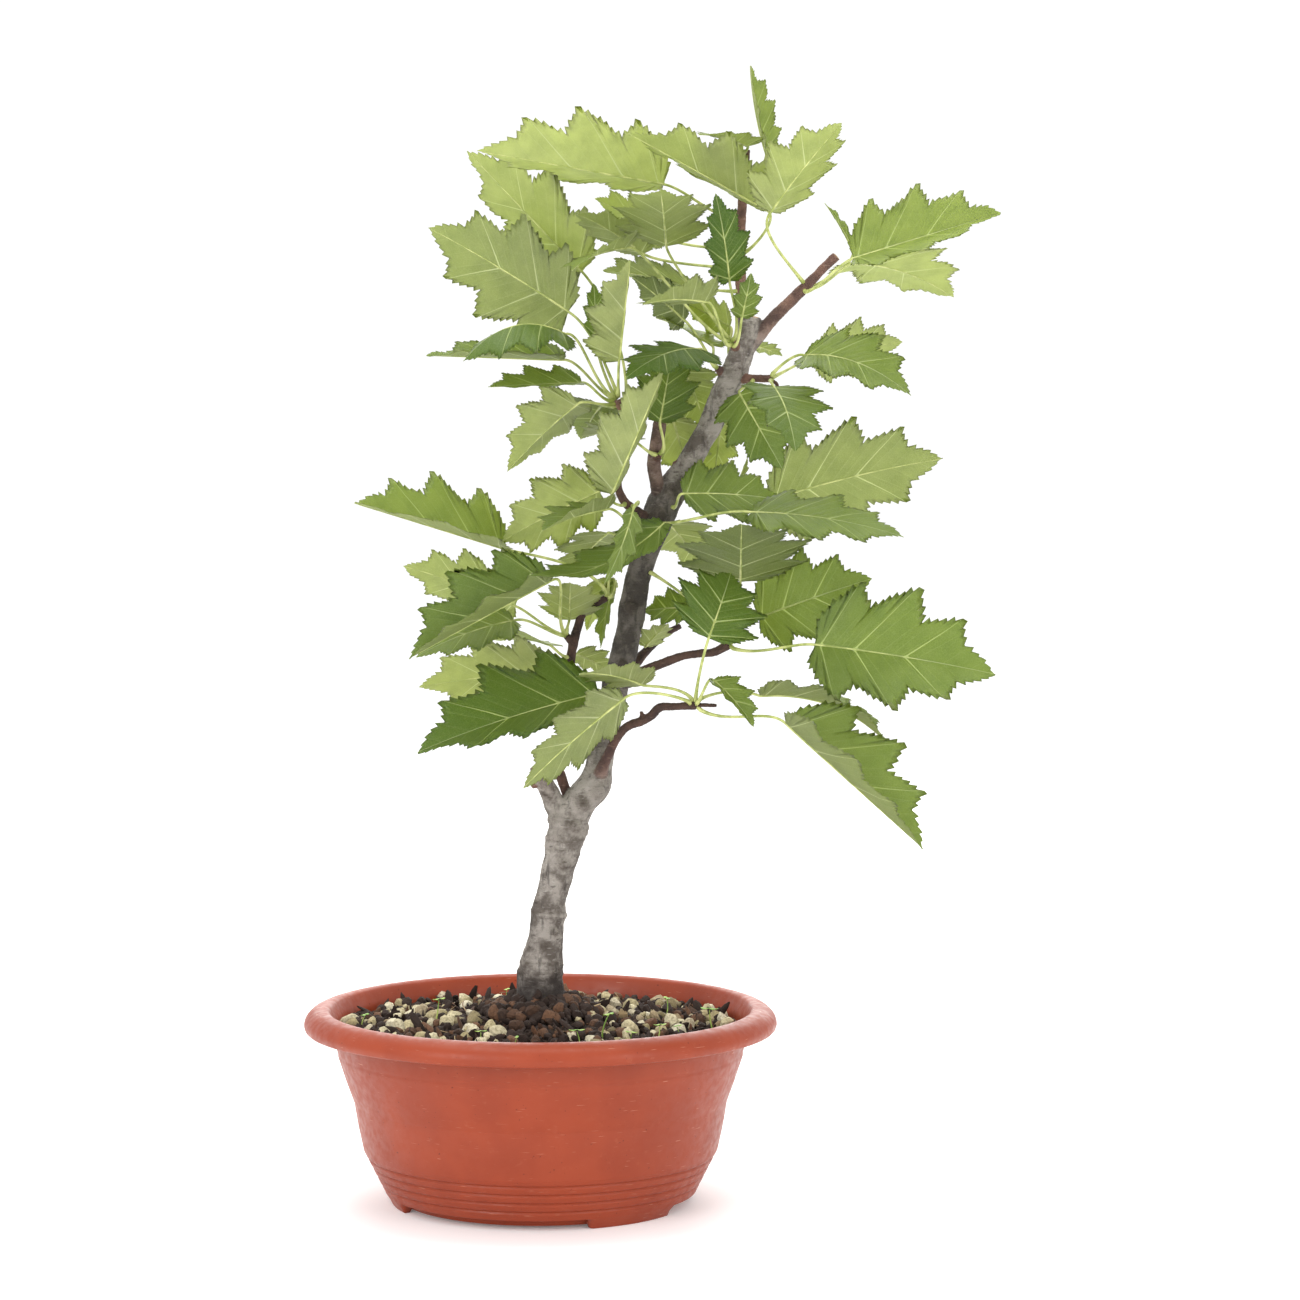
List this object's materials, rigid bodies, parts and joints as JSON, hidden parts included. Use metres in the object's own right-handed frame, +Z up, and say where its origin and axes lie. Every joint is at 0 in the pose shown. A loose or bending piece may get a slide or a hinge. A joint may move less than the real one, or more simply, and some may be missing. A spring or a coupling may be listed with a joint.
{
  "type": "bonsai tree in a pot",
  "caption": "Slender leaning bonsai tree with lobed, toothed leaves, in a round plastic bowl with a rolled lip, filled with compost and grit.",
  "frame": {"origin": "on the bowl's axis, level with the undersides of its three feet", "axes": "+Z up; -Y towards the front, where the trunk's lean to the right (+X) is seen"},
  "size_m": [0.334, 0.23, 0.549],
  "materials": {
    "bowl": "moulded terracotta-coloured plastic, satin, with fine scratches",
    "compost": "dark crumbly peat and bark compost",
    "grit": "dry loose grit and gravel, matt",
    "bark": "grey-brown bark with pale patches and ring scars",
    "leaf": "thin living leaf, green above and paler below"
  },
  "bodies": {
    "root": {"bowl": "bowl", "compost": "compost", "grit_layer": "grit", "tree": "bark", "leaf_01": "leaf", "leaf_02": "leaf", "leaf_03": "leaf", "leaf_04": "leaf", "leaf_05": "leaf", "leaf_06": "leaf", "leaf_07": "leaf", "leaf_08": "leaf", "leaf_09": "leaf", "leaf_10": "leaf", "leaf_11": "leaf", "leaf_12": "leaf", "leaf_13": "leaf", "leaf_14": "leaf", "leaf_15": "leaf", "leaf_16": "leaf", "leaf_17": "leaf", "leaf_18": "leaf", "leaf_19": "leaf", "leaf_20": "leaf", "leaf_21": "leaf", "leaf_22": "leaf", "leaf_23": "leaf", "leaf_24": "leaf", "leaf_25": "leaf", "leaf_26": "leaf", "leaf_27": "leaf", "leaf_28": "leaf", "leaf_29": "leaf", "leaf_30": "leaf", "leaf_31": "leaf", "leaf_32": "leaf", "leaf_33": "leaf", "leaf_34": "leaf", "leaf_35": "leaf", "leaf_36": "leaf", "leaf_37": "leaf", "leaf_38": "leaf", "leaf_39": "leaf", "leaf_40": "leaf", "leaf_41": "leaf", "leaf_42": "leaf", "leaf_43": "leaf", "leaf_44": "leaf", "leaf_45": "leaf", "leaf_46": "leaf", "leaf_47": "leaf", "leaf_48": "leaf", "leaf_49": "leaf", "leaf_50": "leaf", "leaf_51": "leaf", "leaf_52": "leaf", "leaf_53": "leaf", "leaf_54": "leaf", "leaf_55": "leaf", "leaf_56": "leaf"}
  },
  "joints": []
}
